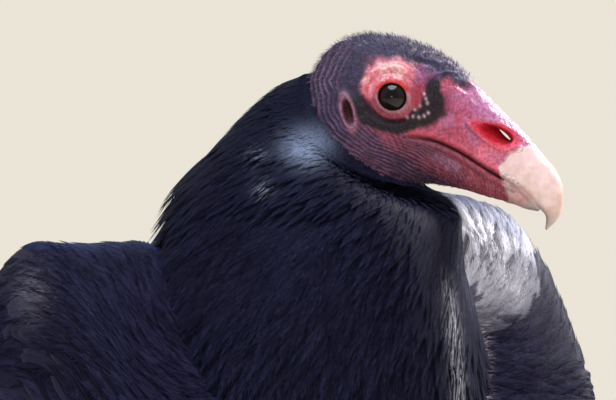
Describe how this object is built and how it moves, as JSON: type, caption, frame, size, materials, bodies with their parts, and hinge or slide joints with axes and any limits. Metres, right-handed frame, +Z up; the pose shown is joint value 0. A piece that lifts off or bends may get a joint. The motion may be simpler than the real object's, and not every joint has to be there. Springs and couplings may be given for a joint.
{
  "type": "turkey vulture",
  "caption": "Turkey vulture standing still with folded wings, its bare red head turned to its left, life size.",
  "frame": {"origin": "on the floor under the middle of the whole bird's box", "axes": "+Z up, -Y the way the body faces, +X the bird's own left, to which the head is turned"},
  "size_m": [0.229, 0.5043, 0.3843],
  "materials": {
    "plumage": "soft blue-black body feathers with a faint violet sheen",
    "flight_feather": "smooth brown-black vanes with paler worn edges",
    "skin": "wrinkled bare skin, rose red on the face and dark violet on the crown",
    "bill_horn": "ivory horn, smooth, slightly stained",
    "eye": "wet, dark brown",
    "leg_skin": "scaly, dusty pinkish grey",
    "claw_horn": "black-brown horn, worn"
  },
  "bodies": {
    "root": {"trunk": "plumage", "neck": "plumage", "head": "skin", "jaw": "skin", "bill_upper": "bill_horn", "bill_lower": "bill_horn", "tail": "flight_feather", "eye_l": "eye", "wing_l_coverts": "flight_feather", "wing_l_secondaries": "flight_feather", "wing_l_primaries": "flight_feather", "thigh_l": "plumage", "shank_l": "leg_skin", "foot_l": "leg_skin", "toe_l_1": "leg_skin", "toe_l_2": "leg_skin", "toe_l_3": "leg_skin", "toe_l_4": "leg_skin", "claw_l_1": "claw_horn", "claw_l_2": "claw_horn", "claw_l_3": "claw_horn", "claw_l_4": "claw_horn", "eye_r": "eye", "wing_r_coverts": "flight_feather", "wing_r_secondaries": "flight_feather", "wing_r_primaries": "flight_feather", "thigh_r": "plumage", "shank_r": "leg_skin", "foot_r": "leg_skin", "toe_r_1": "leg_skin", "toe_r_2": "leg_skin", "toe_r_3": "leg_skin", "toe_r_4": "leg_skin", "claw_r_1": "claw_horn", "claw_r_2": "claw_horn", "claw_r_3": "claw_horn", "claw_r_4": "claw_horn"}
  },
  "joints": []
}
